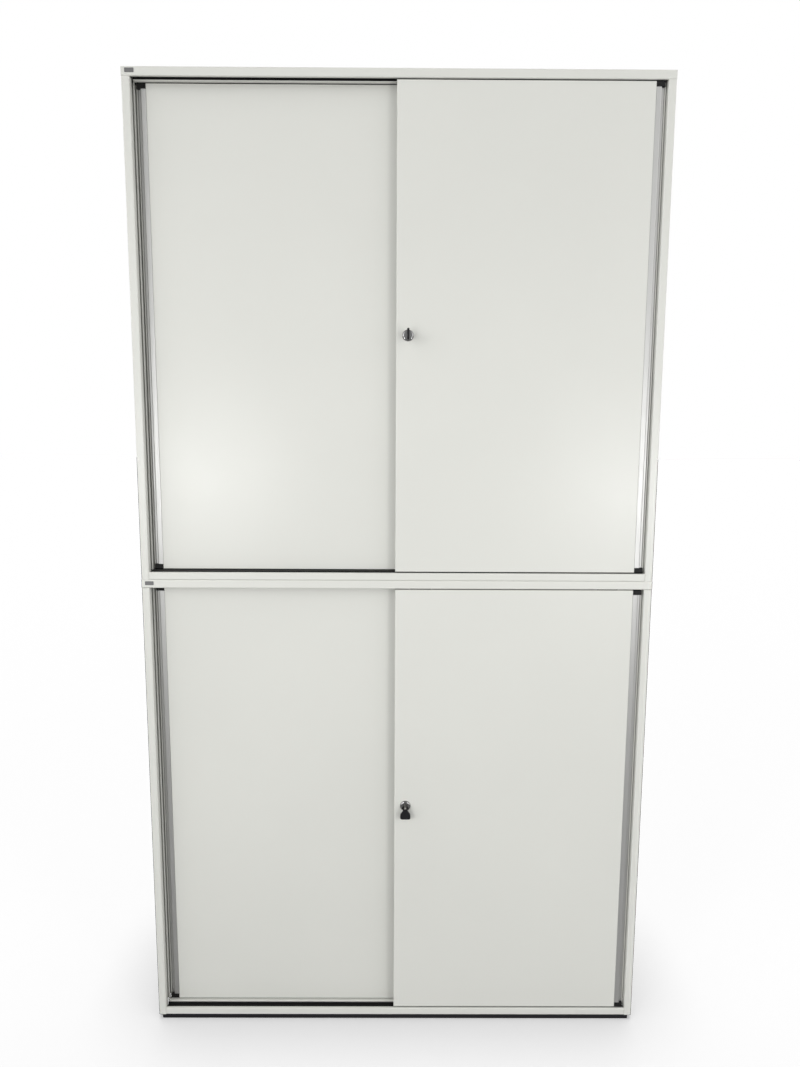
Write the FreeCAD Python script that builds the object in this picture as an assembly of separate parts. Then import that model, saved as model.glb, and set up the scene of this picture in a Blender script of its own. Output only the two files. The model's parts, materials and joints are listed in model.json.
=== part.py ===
import FreeCAD, Part
import os
import math
from FreeCAD import Vector as V

os.makedirs("parts", exist_ok=True)

# ---------------------------------------------------------------------------
# Two-high stack of sheet-steel cabinets with overlapping sliding doors.
# Millimetres, +Z up, the doors face -Y.  "d" below is the depth behind the
# front plane of the frame, and "z" is counted from the underside of a module.
# ---------------------------------------------------------------------------
W = 1200.0            # overall width
HM = 1125.0           # height of one module
DEPTH = 430.0         # depth from the frame's front to the back
BASE_H = 12.0         # height of the black base rails
T = 1.0               # sheet thickness
BEND = 0.8            # inside bend radius
EDGE_BEND = 1.5       # inside bend radius of the visible stile and rail edges

STILE = 18.0          # visible width of the side stiles
RETURN = 17.0         # depth of the stile's inner return
RAIL = 18.0           # visible height of the bottom rails
TOP_RAIL = 19.8       # visible height of the top rails
LIP = 7.0             # depth of the rail lips
HAIR = 0.12           # hairline joint between rails and stiles

DOOR_T = 18.0         # door thickness
FRONT_D = 3.0         # depth of the front door's face
PITCH = 29.5          # depth from the front door's face to the rear door's
DOOR_Z0 = 20.6        # bottom edge of the doors
DOOR_Z1 = HM - 22.2   # top edge of the doors
EDGE_X = 557.2        # outer edge of the painted door panels
GRIP_W = 12.6         # width of the face of the aluminium grip
GRIP_X = 576.8        # outer edge of the grip's recessed ledge
GRIP_STEP = 6.0       # depth of the ledge behind the grip's face
CLOSE_X = 580.8       # outer edge of the door's closing flange
CLOSE_W = 3.2         # width of the closing flange's front
CLOSE_D = 9.0         # depth of the closing flange behind the door's face
FRONT_X0 = -5.0       # free edge of the front (right) door
REAR_X1 = 46.0        # free edge of the rear (left) door, behind the front one
CAP_H = 11.0          # height of the grip's end caps

SLOT_C = 14.6         # centre of the front running slot
SLOT_W = 15.2         # width of a running slot between its steel walls
ROLL_C = 13.6         # depth of the front door's rollers and fins
CHANNEL_D = 53.5      # rear wall of the running channel below the doors
JAMB_D0 = 28.0        # front edge of the jamb's angle, behind the stile's return
JAMB_D1 = 39.0        # rear face of the jamb's angle
JAMB_D2 = 54.0        # face of the jamb behind the rear door
LINER_T = 1.15        # wall of the plastic liners

ROLLER_R = 12.0       # running radius of the door rollers
ROLLER_W = 6.0
AXLE_R = 2.5
AXLE_Z = 26.0
ROLLER_IN = 70.0      # roller centre from the panel's edge

LOCK_X = 22.0
LOCK_Z = HM / 2
ROSETTE_R = 13.0
PLUG_R = 6.45
PIN_D = -12.0         # depth of the key's folding pin
KEY_OUT = 39.5        # reach of the key in front of the frame

SHELF_Z = (373.5, 748.5)
SHELF_T = 25.0
SHELF_D0 = 70.0
SHELF_D1 = 424.0
SHELF_X = 586.0
UPRIGHT_D = (110.0, 375.0)

STACK_X = 584.0
STACK_D = (140.0, 340.0)
STACK_R = 3.5         # free holes in the top
JOIN_R = 4.2          # holes at the joint between the modules, with room to line up
WALL_X = 400.0
WALL_Z = HM - 60.0
WALL_R = 4.5

YF = (KEY_OUT - DEPTH) / 2          # front plane, so that the whole box is centred
BOTTOMS = {"lower": BASE_H, "upper": BASE_H + HM}


# --------------------------------------------------------------- helpers
def box(x0, x1, d0, d1, z0, z1):
    return Part.makeBox(x1 - x0, d1 - d0, z1 - z0, V(x0, YF + d0, z0))


def rod(r, x, d0, d1, z):
    """Round bar along the depth."""
    return Part.makeCylinder(r, d1 - d0, V(x, YF + d0, z), V(0, 1, 0))


def post(r, x, d, z0, z1):
    """Round bar along the height."""
    return Part.makeCylinder(r, z1 - z0, V(x, YF + d, z0), V(0, 0, 1))


def fuse(shapes):
    s = shapes[0].fuse(shapes[1:]) if len(shapes) > 1 else shapes[0]
    return s.removeSplitter()


def mirror(s):
    return s.mirror(V(0, 0, 0), V(1, 0, 0))


def moved(s, x=0.0, d=0.0, z=0.0):
    c = s.copy()
    c.translate(V(x, d, z))
    return c


def line_edges(pts, radii):
    """Open polyline with rounded corners, as 2-D tuples (kind, points)."""
    out, start = [], pts[0]
    for i in range(1, len(pts) - 1):
        p, q, s = pts[i - 1], pts[i], pts[i + 1]
        a = (q[0] - p[0], q[1] - p[1])
        b = (s[0] - q[0], s[1] - q[1])
        la, lb = math.hypot(*a), math.hypot(*b)
        a, b = (a[0] / la, a[1] / la), (b[0] / lb, b[1] / lb)
        turn = math.acos(max(-1.0, min(1.0, a[0] * b[0] + a[1] * b[1])))
        r = radii[i]
        t = r * math.tan(turn / 2)
        t1 = (q[0] - a[0] * t, q[1] - a[1] * t)
        t2 = (q[0] + b[0] * t, q[1] + b[1] * t)
        n = (b[0] - a[0], b[1] - a[1])
        ln = math.hypot(*n)
        n = (n[0] / ln, n[1] / ln)
        k = r / math.cos(turn / 2)
        mid = (q[0] + n[0] * (k - r), q[1] + n[1] * (k - r))
        out.append(("line", start, t1))
        out.append(("arc", t1, mid, t2))
        start = t2
    out.append(("line", start, pts[-1]))
    return out


def fold(pts, t, to3, along, r=BEND):
    """Folded sheet: the sheet lies to the left of the base line.  r is one inside radius, or one for each bend."""
    bends = r if isinstance(r, (list, tuple)) else [r] * (len(pts) - 2)
    dirs = []
    for p, q in zip(pts, pts[1:]):
        length = math.hypot(q[0] - p[0], q[1] - p[1])
        dirs.append(((q[0] - p[0]) / length, (q[1] - p[1]) / length))
    nrm = [(-b, a) for a, b in dirs]
    off, rb, ro = [], [0.0], [0.0]
    off.append((pts[0][0] + nrm[0][0] * t, pts[0][1] + nrm[0][1] * t))
    for i in range(1, len(pts) - 1):
        n0, n1 = nrm[i - 1], nrm[i]
        k = t / (1 + n0[0] * n1[0] + n0[1] * n1[1])
        off.append((pts[i][0] + (n0[0] + n1[0]) * k, pts[i][1] + (n0[1] + n1[1]) * k))
        left = dirs[i - 1][0] * dirs[i][1] - dirs[i - 1][1] * dirs[i][0] > 0
        rb.append(bends[i - 1] + t if left else bends[i - 1])
        ro.append(bends[i - 1] if left else bends[i - 1] + t)
    off.append((pts[-1][0] + nrm[-1][0] * t, pts[-1][1] + nrm[-1][1] * t))
    rb.append(0.0)
    ro.append(0.0)
    one = line_edges(pts, rb)
    two = line_edges(off[::-1], ro[::-1])
    loop = one + [("line", pts[-1], off[-1])] + two + [("line", off[0], pts[0])]
    edges = []
    for e in loop:
        p = [to3(*c) for c in e[1:]]
        if e[0] == "line":
            if (p[0] - p[1]).Length > 1e-7:
                edges.append(Part.LineSegment(p[0], p[1]).toShape())
        else:
            edges.append(Part.Arc(*p).toShape())
    face = Part.Face(Part.Wire(Part.__sortEdges__(edges)))
    s = face.extrude(along)
    return s if s.isValid() else s.removeSplitter()


def upright_fold(pts, z0, z1, t=T, r=BEND):
    """Sheet section drawn in plan (x, d), running up from z0 to z1."""
    return fold(pts, t, lambda a, b: V(a, YF + b, z0), V(0, 0, z1 - z0), r)


def level_fold(pts, x0, x1, zb, t=T, r=BEND):
    """Sheet section drawn from the side (d, z), running from x0 to x1."""
    return fold(pts, t, lambda a, b: V(x0, YF + a, zb + b), V(x1 - x0, 0, 0), r)


def outline(pts, to3, along):
    p = [to3(*c) for c in pts]
    return Part.Face(Part.makePolygon(p + [p[0]])).extrude(along)


def front_edges(s, d):
    y = YF + d
    return [
        e
        for e in s.Edges
        if all(abs(v.Point.y - y) < 1e-6 for v in e.Vertexes)
    ]


def save(name, shapes):
    shapes = shapes if isinstance(shapes, list) else [shapes]
    solids = [q for s in shapes for q in s.Solids]
    for q in solids:
        if not q.isValid():
            print("not valid:", name)
    shape = solids[0] if len(solids) == 1 else Part.makeCompound(solids)
    shape.exportStep("parts/%s.step" % name)
    print("%-28s solids %2d  volume %10.0f mm3" % (name, len(solids), sum(q.Volume for q in solids)))


# --------------------------------------------------------------- carcass
def side_panel(zb):
    """Left side: outer skin, front stile, inner return with a hem, rear flange."""
    pts = [
        (-W / 2 + 24, DEPTH),
        (-W / 2, DEPTH),
        (-W / 2, 0),
        (-W / 2 + STILE, 0),
        (-W / 2 + STILE, RETURN),
        (-W / 2 + STILE - 8, RETURN),
    ]
    return upright_fold(pts, zb, zb + HM - TOP_RAIL - HAIR, T, (BEND, EDGE_BEND, EDGE_BEND, BEND))


def top_panel(zb, hole_r):
    """Top pan with the front rail, its lip and hem, and closed ends."""
    h = HM
    pts = [(DEPTH, h - TOP_RAIL), (DEPTH, h), (0, h), (0, h - TOP_RAIL), (LIP, h - TOP_RAIL), (LIP, h - TOP_RAIL + 7)]
    s = level_fold(pts, -W / 2, W / 2, zb, T, (BEND, EDGE_BEND, EDGE_BEND, BEND))
    end = box(-W / 2, -W / 2 + T, 0.8, DEPTH - 0.6, zb + h - TOP_RAIL + 0.8, zb + h - 0.8)
    s = fuse([s, end, mirror(end)])
    for x in (-STACK_X, STACK_X):
        for d in STACK_D:
            s = s.cut(post(hole_r, x, d, zb + h - 5, zb + h + 5))
    return s


def bottom_panel(zb, stacked):
    """Bottom rail, running channel and raised floor in one folded sheet."""
    x = W / 2 - STILE - HAIR
    pts = [
        (395, 0), (DEPTH - 2, 0), (DEPTH - 2, RAIL), (CHANNEL_D, RAIL), (CHANNEL_D, T), (T, T),
        (T, RAIL - T), (LIP - T, RAIL - T), (LIP - T, RAIL - 7),
    ]
    s = level_fold(pts, -x, x, zb, T, (BEND, BEND, BEND, BEND, EDGE_BEND, EDGE_BEND, BEND))
    wing = box(-W / 2 + T + 0.2, -x, CHANNEL_D + 2.0, DEPTH - 3, zb + RAIL - T, zb + RAIL)
    s = fuse([s, wing, mirror(wing)])
    if stacked:
        for xx in (-STACK_X, STACK_X):
            for d in STACK_D:
                s = s.cut(post(JOIN_R, xx, d, zb + RAIL - 5, zb + RAIL + 5))
    return s


def back_panel(zb, fixings):
    """Flat back behind the rear flanges; the upper one has two wall-fixing holes."""
    s = box(-W / 2 + 2.2, W / 2 - 2.2, DEPTH - 2.0, DEPTH - 1.0, zb + 0.5, zb + HM - 2.2)
    if fixings:
        for x in (-WALL_X, WALL_X):
            s = s.cut(rod(WALL_R, x, DEPTH - 6, DEPTH + 4, zb + WALL_Z))
    return s


def track_dividers(zb):
    """Steel hats between the two running slots, below and above the doors, and the wall behind the rear top slot."""
    x = W / 2 - STILE - 0.5
    d0, d1 = SLOT_C + SLOT_W / 2, SLOT_C + PITCH - SLOT_W / 2
    low = level_fold([(d1, T), (d1, RAIL + 1), (d0 + 3.8, RAIL + 1), (d0 + 3.8, T)], -x, x, zb)
    h = HM
    low_z = h - TOP_RAIL - 0.2
    high = level_fold([(d0, h - T), (d0, low_z), (d1, low_z), (d1, h - T)], -x, x, zb)
    b = SLOT_C + PITCH + SLOT_W / 2 + 0.1
    wall = fuse([
        box(-x, x, b, b + T, zb + h - TOP_RAIL, zb + h - T),
        box(-x, x, b + T, b + 12, zb + h - 2 * T, zb + h - T),
    ])
    return [low, high, wall]


def track_liners(zb):
    """Plastic running channels in the four slots."""
    x = W / 2 - STILE - 0.6
    out = []
    for c in (SLOT_C, SLOT_C + PITCH):
        a, b = c - SLOT_W / 2 + 0.05, c + SLOT_W / 2 - 0.05
        run = AXLE_Z - ROLLER_R - 0.2
        out.append(fuse([
            box(-x, x, a, a + LINER_T, zb + T, zb + RAIL - 0.6),
            box(-x, x, b - LINER_T, b, zb + T, zb + RAIL - 0.6),
            box(-x, x, a + LINER_T, b - LINER_T, zb + run - 1.5, zb + run),
        ]))
        h = HM
        out.append(fuse([
            box(-x, x, a, a + LINER_T, zb + h - TOP_RAIL + 0.6, zb + h - T),
            box(-x, x, b - LINER_T, b, zb + h - TOP_RAIL + 0.6, zb + h - T),
            box(-x, x, a + LINER_T, b - LINER_T, zb + h - T - 1.5, zb + h - T),
        ]))
    return out


def door_jamb(zb):
    """Two sections behind the left stile: an angle whose edge shows beside the doors, and a land behind the rear door."""
    e = W / 2
    z0, z1 = zb + RAIL, zb + HM - TOP_RAIL - 0.2
    angle = upright_fold([(-e + STILE, JAMB_D0), (-e + STILE, JAMB_D1), (-e + 8, JAMB_D1)], z0, z1)
    front = JAMB_D1 + T + 0.02
    land = upright_fold(
        [(-e + 15, front), (-e + 8, front), (-e + 8, JAMB_D2), (-e + 38, JAMB_D2), (-e + 38, JAMB_D2 + 9)], z0, z1
    )
    return [angle, land]


def shelf_uprights(zb):
    """Slotted C-sections that carry the shelf clips."""
    out = []
    e = W / 2
    for dc in UPRIGHT_D:
        z0, z1 = zb + RAIL, zb + HM - 1.3
        s = fuse([
            box(-e + 8, -e + 9, dc - 12, dc + 12, z0, z1),
            box(-e + 1.1, -e + 8, dc - 12, dc - 11, z0, z1),
            box(-e + 1.1, -e + 8, dc + 11, dc + 12, z0, z1),
        ])
        slots = [
            box(-e + 7, -e + 10, dc - 6, dc + 6, zb + 41.5 + 25 * k, zb + 45.5 + 25 * k)
            for k in range(42)
        ]
        s = s.cut(slots)
        out += [s, mirror(s)]
    return out


def shelf_clips(zb):
    out = []
    e = W / 2
    for zs in SHELF_Z:
        for dc in UPRIGHT_D:
            z = zb + zs - SHELF_T
            body = box(-e + 9.05, -e + 23, dc - 7, dc + 7, z - 10, z)
            body = body.makeFillet(1.2, [q for q in body.Edges if abs(q.Vertexes[0].Point.x + e - 23) < 1e-6 and abs(q.Vertexes[-1].Point.x + e - 23) < 1e-6])
            tongue = box(-e + 6, -e + 9.05, dc - 5, dc + 5, z - 6.4, z - 3.6)
            s = fuse([body, tongue])
            out += [s, mirror(s)]
    return out


def shelf(zb, zs):
    z = zb + zs
    s = box(-SHELF_X, SHELF_X, SHELF_D0, SHELF_D1, z - SHELF_T, z)
    top = [q for q in s.Edges if all(abs(v.Point.z - z) < 1e-6 for v in q.Vertexes)]
    s = s.makeFillet(1.5, top)
    return s.cut(box(-SHELF_X + T, SHELF_X - T, SHELF_D0 + T, SHELF_D1 - T, z - SHELF_T - 1, z - T))


# --------------------------------------------------------------- doors
def door_panel(x0, x1, d, zb, rollers, outer):
    """Pan with folded edges and back flanges, open at the back; behind the grip a closing flange runs out to the frame."""
    z0, z1 = zb + DOOR_Z0, zb + DOOR_Z1
    s = box(x0, x1, d, d + DOOR_T, z0, z1)
    s = s.makeFillet(1.6, front_edges(s, d))
    s = s.cut(box(x0 + T, x1 - T, d + T, d + DOOR_T - T, z0 + T, z1 - T))
    s = s.cut(box(x0 + 16, x1 - 16, d + DOOR_T - T - 1, d + DOOR_T + 1, z0 + 32, z1 - 32))
    c = d + ROLL_C - FRONT_D
    for x in rollers:
        s = s.cut(box(x - 14, x + 14, c - 3.4, c + 3.4, z0 - 1, z0 + T + 0.5))
    close = upright_fold(
        [(CLOSE_X - CLOSE_W, d + CLOSE_D), (CLOSE_X, d + CLOSE_D), (CLOSE_X, d + DOOR_T), (EDGE_X - 5, d + DOOR_T)],
        z0, z1,
    )
    return fuse([s, close if outer > 0 else mirror(close)])


def grip(zb):
    """Aluminium grip of the right door: a face, and a recessed ledge for the fingers beside it."""
    a, b = EDGE_X + 0.2, EDGE_X + GRIP_W
    f = FRONT_D + 1.0
    e = FRONT_D + DOOR_T - T - 0.3
    pts = [(a, f), (b, f), (b, f + GRIP_STEP), (GRIP_X, f + GRIP_STEP), (GRIP_X, e), (GRIP_X - 10, e)]
    z0, z1 = zb + DOOR_Z0 + CAP_H + 0.2, zb + DOOR_Z1 - CAP_H - 0.2
    return upright_fold(pts, z0, z1, 1.6, 1.0)


def grip_caps(zb):
    """Black end caps of the right door's grip, as wide as the whole section."""
    out = []
    f = FRONT_D + 0.9
    for low in (True, False):
        z0 = zb + DOOR_Z0 if low else zb + DOOR_Z1 - CAP_H
        z1 = z0 + CAP_H
        s = box(EDGE_X + 0.2, GRIP_X + 0.2, f, FRONT_D + DOOR_T - T - 0.2, z0, z1)
        s = s.makeFillet(1.0, front_edges(s, f))
        # moulded groove across the visible face
        g = z0 + (CAP_H - 4.2 if low else 2.6)
        s = s.cut(box(EDGE_X - 1, EDGE_X + GRIP_W - 4, f - 1, f + 1.4, g, g + 1.6))
        out.append(s)
    return out


def top_guides(x0, x1, d, zb):
    """Plastic fins on the door's top edge that run in the top slot."""
    c = d + ROLL_C - FRONT_D
    out = []
    for x in (x0 + 60, x1 - 60):
        foot = box(x - 24, x + 24, c - 6, c + 6, zb + DOOR_Z1, zb + DOOR_Z1 + 2.0)
        fin = box(x - 18, x + 18, c - 3.5, c + 3.5, zb + DOOR_Z1 + 2.0, zb + HM - 8.5)
        fin = fin.makeFillet(2.0, [e for e in fin.Edges if abs(e.Vertexes[0].Point.x - e.Vertexes[-1].Point.x) < 1e-6 and abs(e.Vertexes[0].Point.y - e.Vertexes[-1].Point.y) < 1e-6])
        out.append(fuse([foot, fin]))
    return out


def roller_brackets(rollers, d, zb):
    """Steel forks with riveted axles, standing on the door's bottom flange."""
    c = d + ROLL_C - FRONT_D
    z = zb + AXLE_Z
    out = []
    for x in rollers:
        z0, z1 = zb + DOOR_Z0 + T, z + 20
        plates = [
            box(x - 13, x + 13, c - 5.0, c - 3.5, z0, z1),
            box(x - 13, x + 13, c + 3.5, c + 5.0, z0, z1),
            box(x - 13, x + 13, c - 3.5, c + 3.5, z1 - 1.5, z1),
        ]
        feet = [
            box(x - 30, x - 13, c - 5.0, c + 5.0, z0, z0 + 1.5),
            box(x + 13, x + 30, c - 5.0, c + 5.0, z0, z0 + 1.5),
        ]
        # the feet reach the fork plates beside the roller slot
        ties = [
            box(x - 15, x - 12.9, c - 5.0, c - 3.5, z0, z0 + 6),
            box(x + 12.9, x + 15, c - 5.0, c - 3.5, z0, z0 + 6),
            box(x - 15, x - 12.9, c + 3.5, c + 5.0, z0, z0 + 6),
            box(x + 12.9, x + 15, c + 3.5, c + 5.0, z0, z0 + 6),
        ]
        axle = [
            rod(AXLE_R, x, c - 5.6, c + 5.6, z),
            rod(2.9, x, c - 5.9, c - 5.0, z),
            rod(2.9, x, c + 5.0, c + 5.9, z),
        ]
        out.append(fuse(plates + feet + ties + axle))
    return out


def roller(x, d, zb):
    """Roller with rounded tread and a running bore."""
    c = d + ROLL_C - FRONT_D
    z = zb + AXLE_Z
    s = rod(ROLLER_R, x, c - ROLLER_W / 2, c + ROLLER_W / 2, z)
    s = s.makeFillet(0.8, [e for e in s.Edges if e.Curve.TypeId == "Part::GeomCircle"])
    for a, b in ((c - ROLLER_W / 2 - 1, c - ROLLER_W / 2 + 1.0), (c + ROLLER_W / 2 - 1.0, c + ROLLER_W / 2 + 1)):
        ring = rod(9.0, x, a, b, z).cut(rod(4.6, x, a - 1, b + 1, z))
        s = s.cut(ring)
    return s.cut(rod(AXLE_R + 0.05, x, c - 10, c + 10, z))


# --------------------------------------------------------------- lock and key
def lock_body(zb):
    """Domed rosette with a threaded barrel, and its hexagonal back nut."""
    z = zb + LOCK_Z
    R = ROSETTE_R
    p = [V(PLUG_R + 0.05, YF - 1.0, 0), V(9.2, YF - 1.0, 0)]
    e = [
        Part.LineSegment(p[0], p[1]).toShape(),
        Part.Arc(V(9.2, YF - 1.0, 0), V(11.75, YF - 0.1, 0), V(R, YF + 2.2, 0)).toShape(),
        Part.LineSegment(V(R, YF + 2.2, 0), V(R, YF + FRONT_D, 0)).toShape(),
        Part.LineSegment(V(R, YF + FRONT_D, 0), V(9.5, YF + FRONT_D, 0)).toShape(),
        Part.LineSegment(V(9.5, YF + FRONT_D, 0), V(9.5, YF + 20.5, 0)).toShape(),
        Part.LineSegment(V(9.5, YF + 20.5, 0), V(PLUG_R + 0.05, YF + 20.5, 0)).toShape(),
        Part.LineSegment(V(PLUG_R + 0.05, YF + 20.5, 0), p[0]).toShape(),
    ]
    s = Part.Face(Part.Wire(e)).revolve(V(0, 0, 0), V(0, 1, 0), 360)
    s.translate(V(LOCK_X, 0, z))
    hexa = outline(
        [(LOCK_X + 13.5 * math.cos(math.radians(60 * k)), z + 13.5 * math.sin(math.radians(60 * k))) for k in range(6)],
        lambda a, b: V(a, YF + FRONT_D + T, b),
        V(0, 5, 0),
    )
    nut = hexa.cut(rod(9.55, LOCK_X, 0, 20, z))
    return [s, nut]


def lock_plug():
    """Plug about the origin, keyway upright, with a square tang and a screw behind."""
    s = fuse([
        rod(PLUG_R, 0, -1.6, 21.4, 0),
        box(-4, 4, 21.4, 23.6, -4, 4),
        rod(5.6, 0, 23.6, 25.6, 0),
    ])
    return s.cut(box(-1.3, 1.3, -3, 16, -4.3, 4.3))


def lock_cam(zb):
    """Steel tongue that points to the right while the doors are free."""
    x, z = LOCK_X, zb + LOCK_Z
    s = fuse([
        rod(8.5, x, 21.5, 23.5, z),
        box(x, x + 28, 21.5, 23.5, z - 6, z + 6),
        rod(6.0, x + 28, 21.5, 23.5, z),
    ])
    return s.cut(box(x - 4.05, x + 4.05, 21, 24, z - 4.05, z + 4.05))


def key_blade():
    """Blade about the origin with the folding pin at its outer end."""
    blade = box(-1.1, 1.1, PIN_D, 15, -4.0, 4.0)
    for d, h in ((4.0, 1.0), (7.0, 1.6), (10.0, 0.8)):
        blade = blade.cut(box(-2, 2, d, d + 1.8, 4.0 - h, 5.0))
    neck = box(-1.1, 1.1, PIN_D - 2, PIN_D + 6, 2.4, 5.0)
    blade = blade.cut(neck).cut(moved(neck, z=-7.4))
    barrel = Part.makeCylinder(2.2, 4.8, V(0, YF + PIN_D, -2.4), V(0, 0, 1))
    pin = Part.makeCylinder(1.2, 10.6, V(0, YF + PIN_D, -5.3), V(0, 0, 1))
    return fuse([blade, barrel, pin])


def key_bow():
    """Flat plastic bow about the origin, straight out, with two lugs on the pin."""
    pts = [(-15.2, 5.3), (-17.5, 5.6), (-22.0, 9.2), (-26.0, 11.8), (-31.0, 12.7), (-36.0, 12.5), (-38.6, 10.8), (-KEY_OUT, 7.5)]
    full = pts + [(a, -b) for a, b in pts[::-1]]
    s = outline(full, lambda a, b: V(-2.5, YF + a, b), V(5, 0, 0))
    side = [e for e in s.Edges if abs(e.Vertexes[0].Point.x - e.Vertexes[-1].Point.x) < 1e-6]
    s = s.makeFillet(1.1, side)
    lugs = []
    for z0 in (2.7, -5.3):
        arm = Part.makeCylinder(2.4, 2.6, V(0, YF + PIN_D, z0), V(0, 0, 1))
        web = box(-1.9, 1.9, -16.5, PIN_D, z0, z0 + 2.6)
        lugs += [arm, web]
    s = fuse([s] + lugs)
    return s.cut(Part.makeCylinder(1.25, 12, V(0, YF + PIN_D, -6), V(0, 0, 1)))


def nameplate(zb):
    """Blank metal plate at the left end of the top rail."""
    s = box(-592, -572, -0.9, 0, zb + HM - 13.0, zb + HM - 3.8)
    e = [q for q in s.Edges if abs(q.Vertexes[0].Point.x - q.Vertexes[-1].Point.x) < 1e-6 and abs(q.Vertexes[0].Point.z - q.Vertexes[-1].Point.z) < 1e-6]
    s = s.makeFillet(1.2, e)
    return s.makeChamfer(0.3, front_edges(s, -0.9))


# --------------------------------------------------------------- base
def base_rail(d0):
    x = W / 2 - 9
    s = level_fold([(d0 + 30, 1), (d0 + 30, BASE_H), (d0, BASE_H), (d0, 1)], -x, x, 0, 1.5)
    end = box(-x, -x + 1.5, d0 + 0.8, d0 + 29.2, 1.0, BASE_H - 0.8)
    return fuse([s, end, mirror(end)])


def foot(x, d):
    pad = post(12, x, d, 0, 4.5)
    pad = pad.makeFillet(1.0, [e for e in pad.Edges if e.Curve.TypeId == "Part::GeomCircle" and abs(e.Vertexes[0].Point.z) > 1])
    hexa = outline(
        [(x + 7.5 * math.cos(math.radians(60 * k)), d + 7.5 * math.sin(math.radians(60 * k))) for k in range(6)],
        lambda a, b: V(a, YF + b, 4.5),
        V(0, 0, 3.0),
    )
    return fuse([pad, hexa, post(4.0, x, d, 7.5, BASE_H - 1.5)])


def stacking_bolts(zu):
    """Bolts, sleeves and nuts that hold the upper module on the lower one."""
    out = []
    for x in (-STACK_X, STACK_X):
        for d in STACK_D:
            head = outline(
                [(x + 5.6 * math.cos(math.radians(60 * k)), d + 5.6 * math.sin(math.radians(60 * k))) for k in range(6)],
                lambda a, b: V(a, YF + b, zu + RAIL),
                V(0, 0, 4.0),
            )
            out.append(fuse([head, post(3.0, x, d, zu - 8.5, zu + RAIL)]))
            out.append(post(6.0, x, d, zu, zu + RAIL - T).cut(post(JOIN_R, x, d, zu - 1, zu + RAIL)))
            nut = outline(
                [(x + 5.8 * math.cos(math.radians(60 * k)), d + 5.8 * math.sin(math.radians(60 * k))) for k in range(6)],
                lambda a, b: V(a, YF + b, zu - T - 5.0),
                V(0, 0, 5.0),
            )
            out.append(nut.cut(post(3.05, x, d, zu - 20, zu + 5)))
    return out


# --------------------------------------------------------------- assembly
REAR_D = FRONT_D + PITCH
jambs, uprights, clips, plates = [], [], [], []
for name, zb in BOTTOMS.items():
    left = side_panel(zb)
    save(name + "_left_side", left)
    save(name + "_right_side", mirror(left))
    save(name + "_top_panel", top_panel(zb, STACK_R if name == "upper" else JOIN_R))
    save(name + "_bottom_panel", bottom_panel(zb, name == "upper"))
    save(name + "_back_panel", back_panel(zb, name == "upper"))
    save(name + "_track_dividers", track_dividers(zb))
    save(name + "_track_liners", track_liners(zb))
    save(name + "_bottom_shelf", shelf(zb, SHELF_Z[0]))
    save(name + "_top_shelf", shelf(zb, SHELF_Z[1]))
    for jamb in door_jamb(zb):
        jambs += [jamb, mirror(jamb)]
    uprights += shelf_uprights(zb)
    clips += shelf_clips(zb)
    plates.append(nameplate(zb))

    # left door, in the rear track, with the pressed-out keeper for the lock
    rl = (-EDGE_X + ROLLER_IN, REAR_X1 - ROLLER_IN)
    pan = door_panel(-EDGE_X, REAR_X1, REAR_D, zb, rl, -1)
    keeper = box(4, 12, FRONT_D + DOOR_T + 1.0, REAR_D + 0.5, zb + LOCK_Z - 34, zb + LOCK_Z - 16)
    save(name + "_left_door_panel", fuse([pan, keeper]))
    save(name + "_left_door_grip", moved(mirror(grip(zb)), d=PITCH))
    save(name + "_left_door_guides", [moved(mirror(c), d=PITCH) for c in grip_caps(zb)] + top_guides(-EDGE_X, REAR_X1, REAR_D, zb))
    save(name + "_left_door_roller_brackets", roller_brackets(rl, REAR_D, zb))
    save(name + "_left_door_roller_a", roller(rl[0], REAR_D, zb))
    save(name + "_left_door_roller_b", roller(rl[1], REAR_D, zb))

    # right door, in the front track, with the lock
    rr = (FRONT_X0 + ROLLER_IN, EDGE_X - ROLLER_IN)
    pan = door_panel(FRONT_X0, EDGE_X, FRONT_D, zb, rr, 1)
    pan = pan.cut(rod(9.6, LOCK_X, 0, 10, zb + LOCK_Z))
    save(name + "_right_door_panel", pan)
    save(name + "_right_door_grip", grip(zb))
    save(name + "_right_door_guides", grip_caps(zb) + top_guides(FRONT_X0, EDGE_X, FRONT_D, zb))
    save(name + "_right_door_roller_brackets", roller_brackets(rr, FRONT_D, zb))
    save(name + "_right_door_roller_a", roller(rr[0], FRONT_D, zb))
    save(name + "_right_door_roller_b", roller(rr[1], FRONT_D, zb))

    # lock: keyway upright above, level below; the lower bow hangs folded
    save(name + "_lock_body", lock_body(zb))
    save(name + "_lock_cam", lock_cam(zb))
    plug, blade, bow = lock_plug(), key_blade(), key_bow()
    if name == "lower":
        bow.rotate(V(0, YF + PIN_D, 0), V(0, 0, 1), 90)
        for s in (plug, blade, bow):
            s.rotate(V(0, YF, 0), V(0, 1, 0), 90)
    for s, part in ((plug, "_lock_plug"), (blade, "_key_blade"), (bow, "_key_bow")):
        save(name + part, moved(s, x=LOCK_X, z=zb + LOCK_Z))

save("door_jambs", jambs)
save("shelf_uprights", uprights)
save("shelf_clips", clips)
save("nameplates", plates)
save("front_base_rail", base_rail(3.0))
save("rear_base_rail", base_rail(DEPTH - 33.0))
save("levelling_feet", [foot(x, d) for x in (-550, 550) for d in (18.0, DEPTH - 18.0)])
save("stacking_bolts", stacking_bolts(BOTTOMS["upper"]))
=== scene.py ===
import bpy
import bmesh
import json
import math
from mathutils import Matrix, Vector


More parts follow.
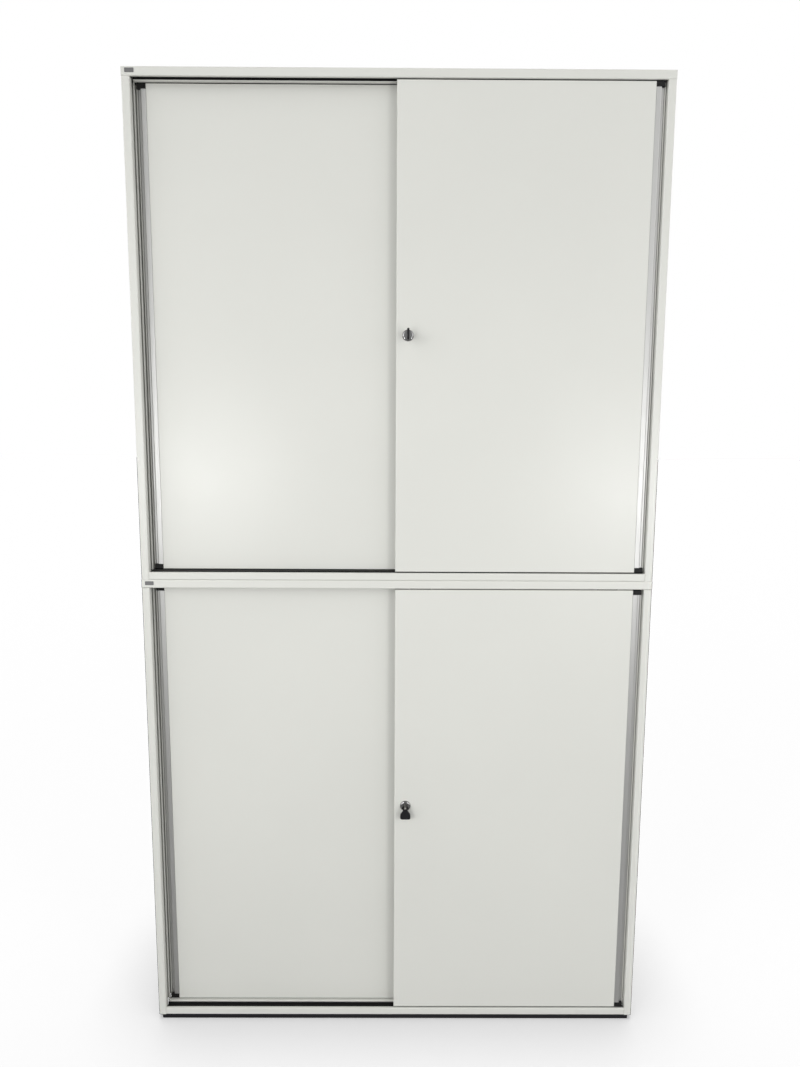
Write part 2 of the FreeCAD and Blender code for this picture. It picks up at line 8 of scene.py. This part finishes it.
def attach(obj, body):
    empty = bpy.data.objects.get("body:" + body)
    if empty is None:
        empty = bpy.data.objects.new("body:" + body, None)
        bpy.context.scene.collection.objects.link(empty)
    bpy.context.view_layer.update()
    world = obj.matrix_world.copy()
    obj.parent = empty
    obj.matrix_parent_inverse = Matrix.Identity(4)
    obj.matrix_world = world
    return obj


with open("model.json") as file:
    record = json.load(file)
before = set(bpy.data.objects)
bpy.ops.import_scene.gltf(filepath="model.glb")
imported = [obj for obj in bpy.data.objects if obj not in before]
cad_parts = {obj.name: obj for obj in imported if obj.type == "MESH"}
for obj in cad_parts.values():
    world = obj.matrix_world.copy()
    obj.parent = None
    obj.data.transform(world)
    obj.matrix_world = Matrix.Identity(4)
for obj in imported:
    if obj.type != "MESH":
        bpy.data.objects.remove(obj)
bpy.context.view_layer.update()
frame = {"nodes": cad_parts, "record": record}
nodes = frame["nodes"]
scene = bpy.context.scene

MM = 0.001
W, HM, DEPTH, BASE_H = 1200.0, 1125.0, 430.0, 12.0
KEY_OUT = 39.5
YF = (KEY_OUT - DEPTH) / 2
ZB = {"lower": BASE_H, "upper": BASE_H + HM}


def at(x, d, z):
    """Point in metres from millimetres: x, depth behind the front plane, height."""
    return Vector((x * MM, (YF + d) * MM, z * MM))


# --------------------------------------------------------------------------- materials
def new_material(name):
    m = bpy.data.materials.new(name)
    m.use_nodes = True
    t = m.node_tree
    b = t.nodes["Principled BSDF"]
    return m, t, b


def node(t, kind, **inputs):
    n = t.nodes.new(kind)
    for k, v in inputs.items():
        n.inputs[k.replace("_", " ")].default_value = v
    return n


def coords(t, scale=(1, 1, 1)):
    c = t.nodes.new("ShaderNodeTexCoord")
    m = t.nodes.new("ShaderNodeMapping")
    m.inputs["Scale"].default_value = scale
    t.links.new(c.outputs["Object"], m.inputs["Vector"])
    return m.outputs["Vector"]


def noise(t, vec, scale, detail=2.0, rough=0.5):
    n = t.nodes.new("ShaderNodeTexNoise")
    n.inputs["Scale"].default_value = scale
    n.inputs["Detail"].default_value = detail
    n.inputs["Roughness"].default_value = rough
    t.links.new(vec, n.inputs["Vector"])
    return n.outputs["Fac"]


def ramp(t, fac, stops):
    r = t.nodes.new("ShaderNodeValToRGB")
    e = r.color_ramp.elements
    while len(e) < len(stops):
        e.new(0.5)
    for el, (p, c) in zip(e, stops):
        el.position = p
        el.color = (*c, 1) if len(c) == 3 else c
    t.links.new(fac, r.inputs["Fac"])
    return r.outputs["Color"]


def span(t, fac, lo, hi, a=0.3, b=0.7):
    r = t.nodes.new("ShaderNodeMapRange")
    r.inputs["From Min"].default_value = a
    r.inputs["From Max"].default_value = b
    r.inputs["To Min"].default_value = lo
    r.inputs["To Max"].default_value = hi
    t.links.new(fac, r.inputs["Value"])
    return r.outputs["Result"]


def bump(t, height, strength, distance, under=None):
    b = t.nodes.new("ShaderNodeBump")
    b.inputs["Strength"].default_value = strength
    b.inputs["Distance"].default_value = distance
    t.links.new(height, b.inputs["Height"])
    if under is not None:
        t.links.new(under, b.inputs["Normal"])
    return b.outputs["Normal"]


def shade(c, k):
    return tuple(max(0.0, v * k) for v in c)


def powder_coat(name, colour, rough, spread=0.015, gloss=0.33):
    """Satin powder coat: faint cloudiness, roughness drift and a fine orange-peel skin."""
    m, t, b = new_material(name)
    v = coords(t)
    cloud = noise(t, v, 2.2, 3.0)
    t.links.new(ramp(t, cloud, [(0.3, shade(colour, 1 - spread)), (0.7, shade(colour, 1 + spread))]), b.inputs["Base Color"])
    t.links.new(span(t, noise(t, v, 7.0, 2.0), rough - 0.02, rough + 0.02), b.inputs["Roughness"])
    peel = bump(t, noise(t, v, 420.0, 1.0), 0.10, 0.0002)
    fine = bump(t, noise(t, v, 1500.0, 1.0), 0.05, 0.0001, peel)
    t.links.new(fine, b.inputs["Normal"])
    b.inputs["IOR"].default_value = 1.5
    b.inputs["Specular IOR Level"].default_value = gloss
    return m


def anodised(name, colour, rough, metal):
    """Drawn aluminium with fine lines along the height."""
    m, t, b = new_material(name)
    v = coords(t, (1, 1, 0.004))
    lines = noise(t, v, 2600.0, 2.0)
    t.links.new(ramp(t, lines, [(0.3, shade(colour, 0.94)), (0.7, shade(colour, 1.04))]), b.inputs["Base Color"])
    t.links.new(span(t, noise(t, coords(t, (1, 1, 0.02)), 900.0, 2.0), rough - 0.04, rough + 0.05), b.inputs["Roughness"])
    b.inputs["Metallic"].default_value = metal
    t.links.new(bump(t, lines, 0.08, 0.0001), b.inputs["Normal"])
    return m


def moulded(name, colour, rough, grain=900.0, strength=0.25, gloss=0.25):
    """Moulded plastic with a fine spark-eroded grain."""
    m, t, b = new_material(name)
    v = coords(t)
    t.links.new(ramp(t, noise(t, v, 60.0, 3.0), [(0.3, shade(colour, 0.8)), (0.7, shade(colour, 1.25))]), b.inputs["Base Color"])
    t.links.new(span(t, noise(t, v, 140.0, 2.0), rough - 0.06, rough + 0.06), b.inputs["Roughness"])
    t.links.new(bump(t, noise(t, v, grain, 2.0), strength, 0.0001), b.inputs["Normal"])
    b.inputs["Specular IOR Level"].default_value = gloss
    return m


def brushed(name, colour, rough, metal):
    """Plain plate with fine brush lines along its length."""
    m, t, b = new_material(name)
    lines = noise(t, coords(t, (0.01, 1, 1)), 3000.0, 2.0)
    t.links.new(ramp(t, lines, [(0.3, shade(colour, 0.92)), (0.7, shade(colour, 1.08))]), b.inputs["Base Color"])
    t.links.new(span(t, lines, rough - 0.04, rough + 0.04), b.inputs["Roughness"])
    t.links.new(bump(t, lines, 0.06, 0.00005), b.inputs["Normal"])
    b.inputs["Metallic"].default_value = metal
    return m


def plated(name, colour, rough, cell=55.0, spread=0.08, metal=1.0):
    """Plated steel with a faint spangle and polishing marks."""
    m, t, b = new_material(name)
    v = coords(t)
    vo = t.nodes.new("ShaderNodeTexVoronoi")
    vo.inputs["Scale"].default_value = cell
    t.links.new(v, vo.inputs["Vector"])
    t.links.new(ramp(t, vo.outputs["Distance"], [(0.0, shade(colour, 1 - spread)), (1.0, shade(colour, 1 + spread))]), b.inputs["Base Color"])
    t.links.new(span(t, noise(t, v, 320.0, 3.0), rough * 0.75, rough * 1.35), b.inputs["Roughness"])
    t.links.new(bump(t, noise(t, v, 1800.0, 2.0), 0.05, 0.00005), b.inputs["Normal"])
    b.inputs["Metallic"].default_value = metal
    return m


def shade_and_highlight_coat(name, shade_tone, lit_tone, rough):
    """Powder coat with painted shade and painted highlight: near black on the strips near the floor, standing in
    for the shade in their slot, and lighter than the body paint on those under the top, standing in for the
    light they catch.
    """
    m = powder_coat(name, lit_tone, rough)
    t = m.node_tree
    b = t.nodes["Principled BSDF"]
    c = t.nodes.new("ShaderNodeTexCoord")
    xyz = t.nodes.new("ShaderNodeSeparateXYZ")
    t.links.new(c.outputs["Generated"], xyz.inputs["Vector"])
    # Painted shade on the lower half of the piece, painted highlight on the upper half.
    t.links.new(ramp(t, xyz.outputs["Z"], [(0.4, shade_tone), (0.6, lit_tone)]), b.inputs["Base Color"])
    return m


PAINT = (0.640, 0.643, 0.605)
# Upper track dividers: painted shade (near black) on the bottom strip, painted highlight (lighter than the body
# paint) on the top strip.
DIVIDER_PAINTED_SHADE = shade_and_highlight_coat("divider_painted_shade_and_highlight", (0.030, 0.030, 0.028), (0.86, 0.86, 0.82), 0.31)
MATS = {
    "body_paint": powder_coat("body_powder_coat", PAINT, 0.31),
    "door_paint": powder_coat("door_powder_coat", PAINT, 0.31),
    "grip_aluminium": anodised("grip_anodised", (0.50, 0.50, 0.49), 0.44, 0.78),
    "black_plastic": moulded("black_moulding", (0.008, 0.008, 0.008), 0.6),
    "zinc_steel": plated("zinc_plate", (0.52, 0.53, 0.54), 0.34),
    "nylon": moulded("black_nylon", (0.012, 0.012, 0.013), 0.55, 1200.0, 0.15),
    "lock_chrome": plated("polished_chrome", (0.30, 0.30, 0.30), 0.11, 30.0, 0.03),
    "key_steel": plated("nickel_plate", (0.58, 0.57, 0.54), 0.22, 400.0, 0.05),
    "key_plastic": moulded("key_moulding", (0.008, 0.008, 0.009), 0.45, 1500.0, 0.12),
    "badge_metal": brushed("badge_plate", (0.15, 0.15, 0.15), 0.5, 0.4),
    "base_paint": powder_coat("black_powder_coat", (0.010, 0.010, 0.012), 0.42, 0.15),
}
slot_of = {s["node"]: s["material_slot"] for s in frame["record"]["subparts"]}
for name, o in nodes.items():
    m = DIVIDER_PAINTED_SHADE if name == "upper_track_dividers" else MATS[slot_of[name]]
    o.data.materials.clear()
    o.data.materials.append(m)

# --------------------------------------------------------------------------- rivets on the back
RIVET = ((3.4, -0.1), (3.45, 0.15), (3.25, 0.55), (2.7, 0.95), (1.9, 1.2), (1.2, 1.25), (0.95, 1.1), (0.9, 0.6))


def lathe(bm, base, axis, profile, seg=20):
    """Closed turned body on a base point: profile as (radius, height) in millimetres."""
    a = Vector(axis).normalized()
    u = a.orthogonal().normalized()
    v = a.cross(u)
    rings = []
    for r, h in profile:
        rings.append([
            bm.verts.new(base + (a * h + (u * math.cos(2 * math.pi * k / seg) + v * math.sin(2 * math.pi * k / seg)) * r) * MM)
            for k in range(seg)
        ])
    for one, two in zip(rings, rings[1:]):
        for k in range(seg):
            bm.faces.new((one[k], one[(k + 1) % seg], two[(k + 1) % seg], two[k]))
    bm.faces.new(rings[0][::-1])
    bm.faces.new(rings[-1])


bm = bmesh.new()
for zb in ZB.values():
    for k in range(6):
        for x in (-588.0, 588.0):
            lathe(bm, at(x, DEPTH, zb + 62.5 + 200.0 * k), (0, 1, 0), RIVET)
    for x in (-450.0, -225.0, 0.0, 225.0, 450.0):
        lathe(bm, at(x, DEPTH, zb + HM - 10.0), (0, 1, 0), RIVET)
        lathe(bm, at(x, DEPTH - 1.0, zb + 9.0), (0, 1, 0), RIVET)
bmesh.ops.recalc_face_normals(bm, faces=bm.faces)
for f in bm.faces:
    f.smooth = len(f.verts) == 4
rm = bpy.data.meshes.new("back_rivets")
bm.to_mesh(rm)
bm.free()
rivets = bpy.data.objects.new("back_rivets", rm)
rm.materials.append(MATS["zinc_steel"])
scene.collection.objects.link(rivets)
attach(rivets, "carcass")

# --------------------------------------------------------------------------- floor and light
grey, gt, gb = new_material("studio_floor")
gt.links.new(ramp(gt, noise(gt, coords(gt), 3.0, 3.0), [(0.3, (0.076, 0.076, 0.076)), (0.7, (0.084, 0.084, 0.084))]), gb.inputs["Base Color"])
gb.inputs["Roughness"].default_value = 0.9
gb.inputs["Specular IOR Level"].default_value = 0.1
fm = bpy.data.meshes.new("floor")
bm = bmesh.new()
bmesh.ops.create_grid(bm, x_segments=8, y_segments=8, size=30.0)
bm.to_mesh(fm)
bm.free()
floor = bpy.data.objects.new("floor", fm)
fm.materials.append(grey)
scene.collection.objects.link(floor)
floor.is_shadow_catcher = True

# Soft light from all round: wide lobes, each with its direction, sharpness and strength.
LOBES = (
    ((-0.616, -0.788, 0.0), 16.0, 2.50),
    ((0.616, -0.788, 0.0), 16.0, 1.10),
    ((-0.816, -0.57, 0.1), 4.0, 2.10),
    ((0.816, -0.57, 0.1), 4.0, 2.05),
    ((-0.55, 0.80, 0.24), 3.0, 1.30),
    ((0.60, 0.76, 0.24), 3.0, 1.50),
    ((0.0, 0.60, 0.80), 3.0, 0.70),
)
world = bpy.data.worlds.new("studio")
world.use_nodes = True
scene.world = world
nt = world.node_tree


def wmath(op, a, b):
    n = nt.nodes.new("ShaderNodeMath")
    n.operation = op
    for i, v in enumerate((a, b)):
        if isinstance(v, (int, float)):
            n.inputs[i].default_value = v
        else:
            nt.links.new(v, n.inputs[i])
    return n.outputs["Value"]


way = nt.nodes.new("ShaderNodeTexCoord").outputs["Generated"]
total = None
for axis, sharp, strength in LOBES:
    d = nt.nodes.new("ShaderNodeVectorMath")
    d.operation = "DOT_PRODUCT"
    d.inputs[1].default_value = Vector(axis).normalized()
    nt.links.new(way, d.inputs[0])
    lobe = wmath("MULTIPLY", wmath("POWER", wmath("MAXIMUM", d.outputs["Value"], 0.0), sharp), strength)
    total = lobe if total is None else wmath("ADD", total, lobe)
bg = nt.nodes["Background"]
bg.inputs["Color"].default_value = (1, 1, 1, 1)
nt.links.new(total, bg.inputs["Strength"])
bg2 = nt.nodes.new("ShaderNodeBackground")
bg2.inputs["Color"].default_value = (1, 1, 1, 1)
bg2.inputs["Strength"].default_value = 1.0
lp = nt.nodes.new("ShaderNodeLightPath")
mix = nt.nodes.new("ShaderNodeMixShader")
nt.links.new(lp.outputs["Is Camera Ray"], mix.inputs["Fac"])
nt.links.new(bg.outputs["Background"], mix.inputs[1])
nt.links.new(bg2.outputs["Background"], mix.inputs[2])
nt.links.new(mix.outputs["Shader"], nt.nodes["World Output"].inputs["Surface"])


def area(name, loc, target, size, watts, spread=180.0):
    l = bpy.data.lights.new(name, "AREA")
    l.shape = "DISK"
    l.size = size
    l.energy = watts
    l.spread = math.radians(spread)
    o = bpy.data.objects.new(name, l)
    scene.collection.objects.link(o)
    o.location = loc
    o.rotation_euler = (Vector(target) - Vector(loc)).to_track_quat("-Z", "Y").to_euler()
    return o


area("key_left", (-0.8792, -1.9953, 1.2630), (-0.4396, -0.1953, 1.2), 0.5, 8.2)
area("key_right", (1.0866, -1.9953, 1.1939), (0.5433, -0.1953, 1.2), 0.5, 8.3)

# Light straight from above for the floor only: the short soft shadow round the base.
floor_only = bpy.data.collections.new("floor_only")
floor_only.objects.link(floor)
for name, energy, shadow in (("floor_light", 5.0, True), ("floor_fill", 4.0, False)):
    l = bpy.data.lights.new(name, "SUN")
    l.energy = energy
    l.angle = math.radians(11.0)
    l.use_shadow = shadow
    o = bpy.data.objects.new(name, l)
    scene.collection.objects.link(o)
    o.location = (0, 0, 5)
    o.light_linking.receiver_collection = floor_only

# --------------------------------------------------------------------------- camera
cam = bpy.data.cameras.new("camera")
cam.sensor_fit = "VERTICAL"
cam.sensor_height = 36.0
cam.sensor_width = 36.0
cam.lens = 800.0 / 1067.0 * 36.0
cam.clip_start = 0.05
cam.clip_end = 200
co = bpy.data.objects.new("camera", cam)
scene.collection.objects.link(co)
tilt, roll, yaw = (math.radians(a) for a in (8.046, 0.275, 0.258))
F = Vector((math.sin(yaw) * math.cos(tilt), math.cos(yaw) * math.cos(tilt), -math.sin(tilt)))
R = Vector((math.cos(yaw), -math.sin(yaw), 0))
U = R.cross(F)
R2 = R * math.cos(roll) + U * math.sin(roll)
U2 = U * math.cos(roll) - R * math.sin(roll)
place = at(-2.4, -1845.3, BASE_H + 1497.8)
co.matrix_world = Matrix((
    (R2.x, U2.x, -F.x, place.x),
    (R2.y, U2.y, -F.y, place.y),
    (R2.z, U2.z, -F.z, place.z),
    (0, 0, 0, 1),
))
scene.camera = co
scene.view_settings.view_transform = "Standard"
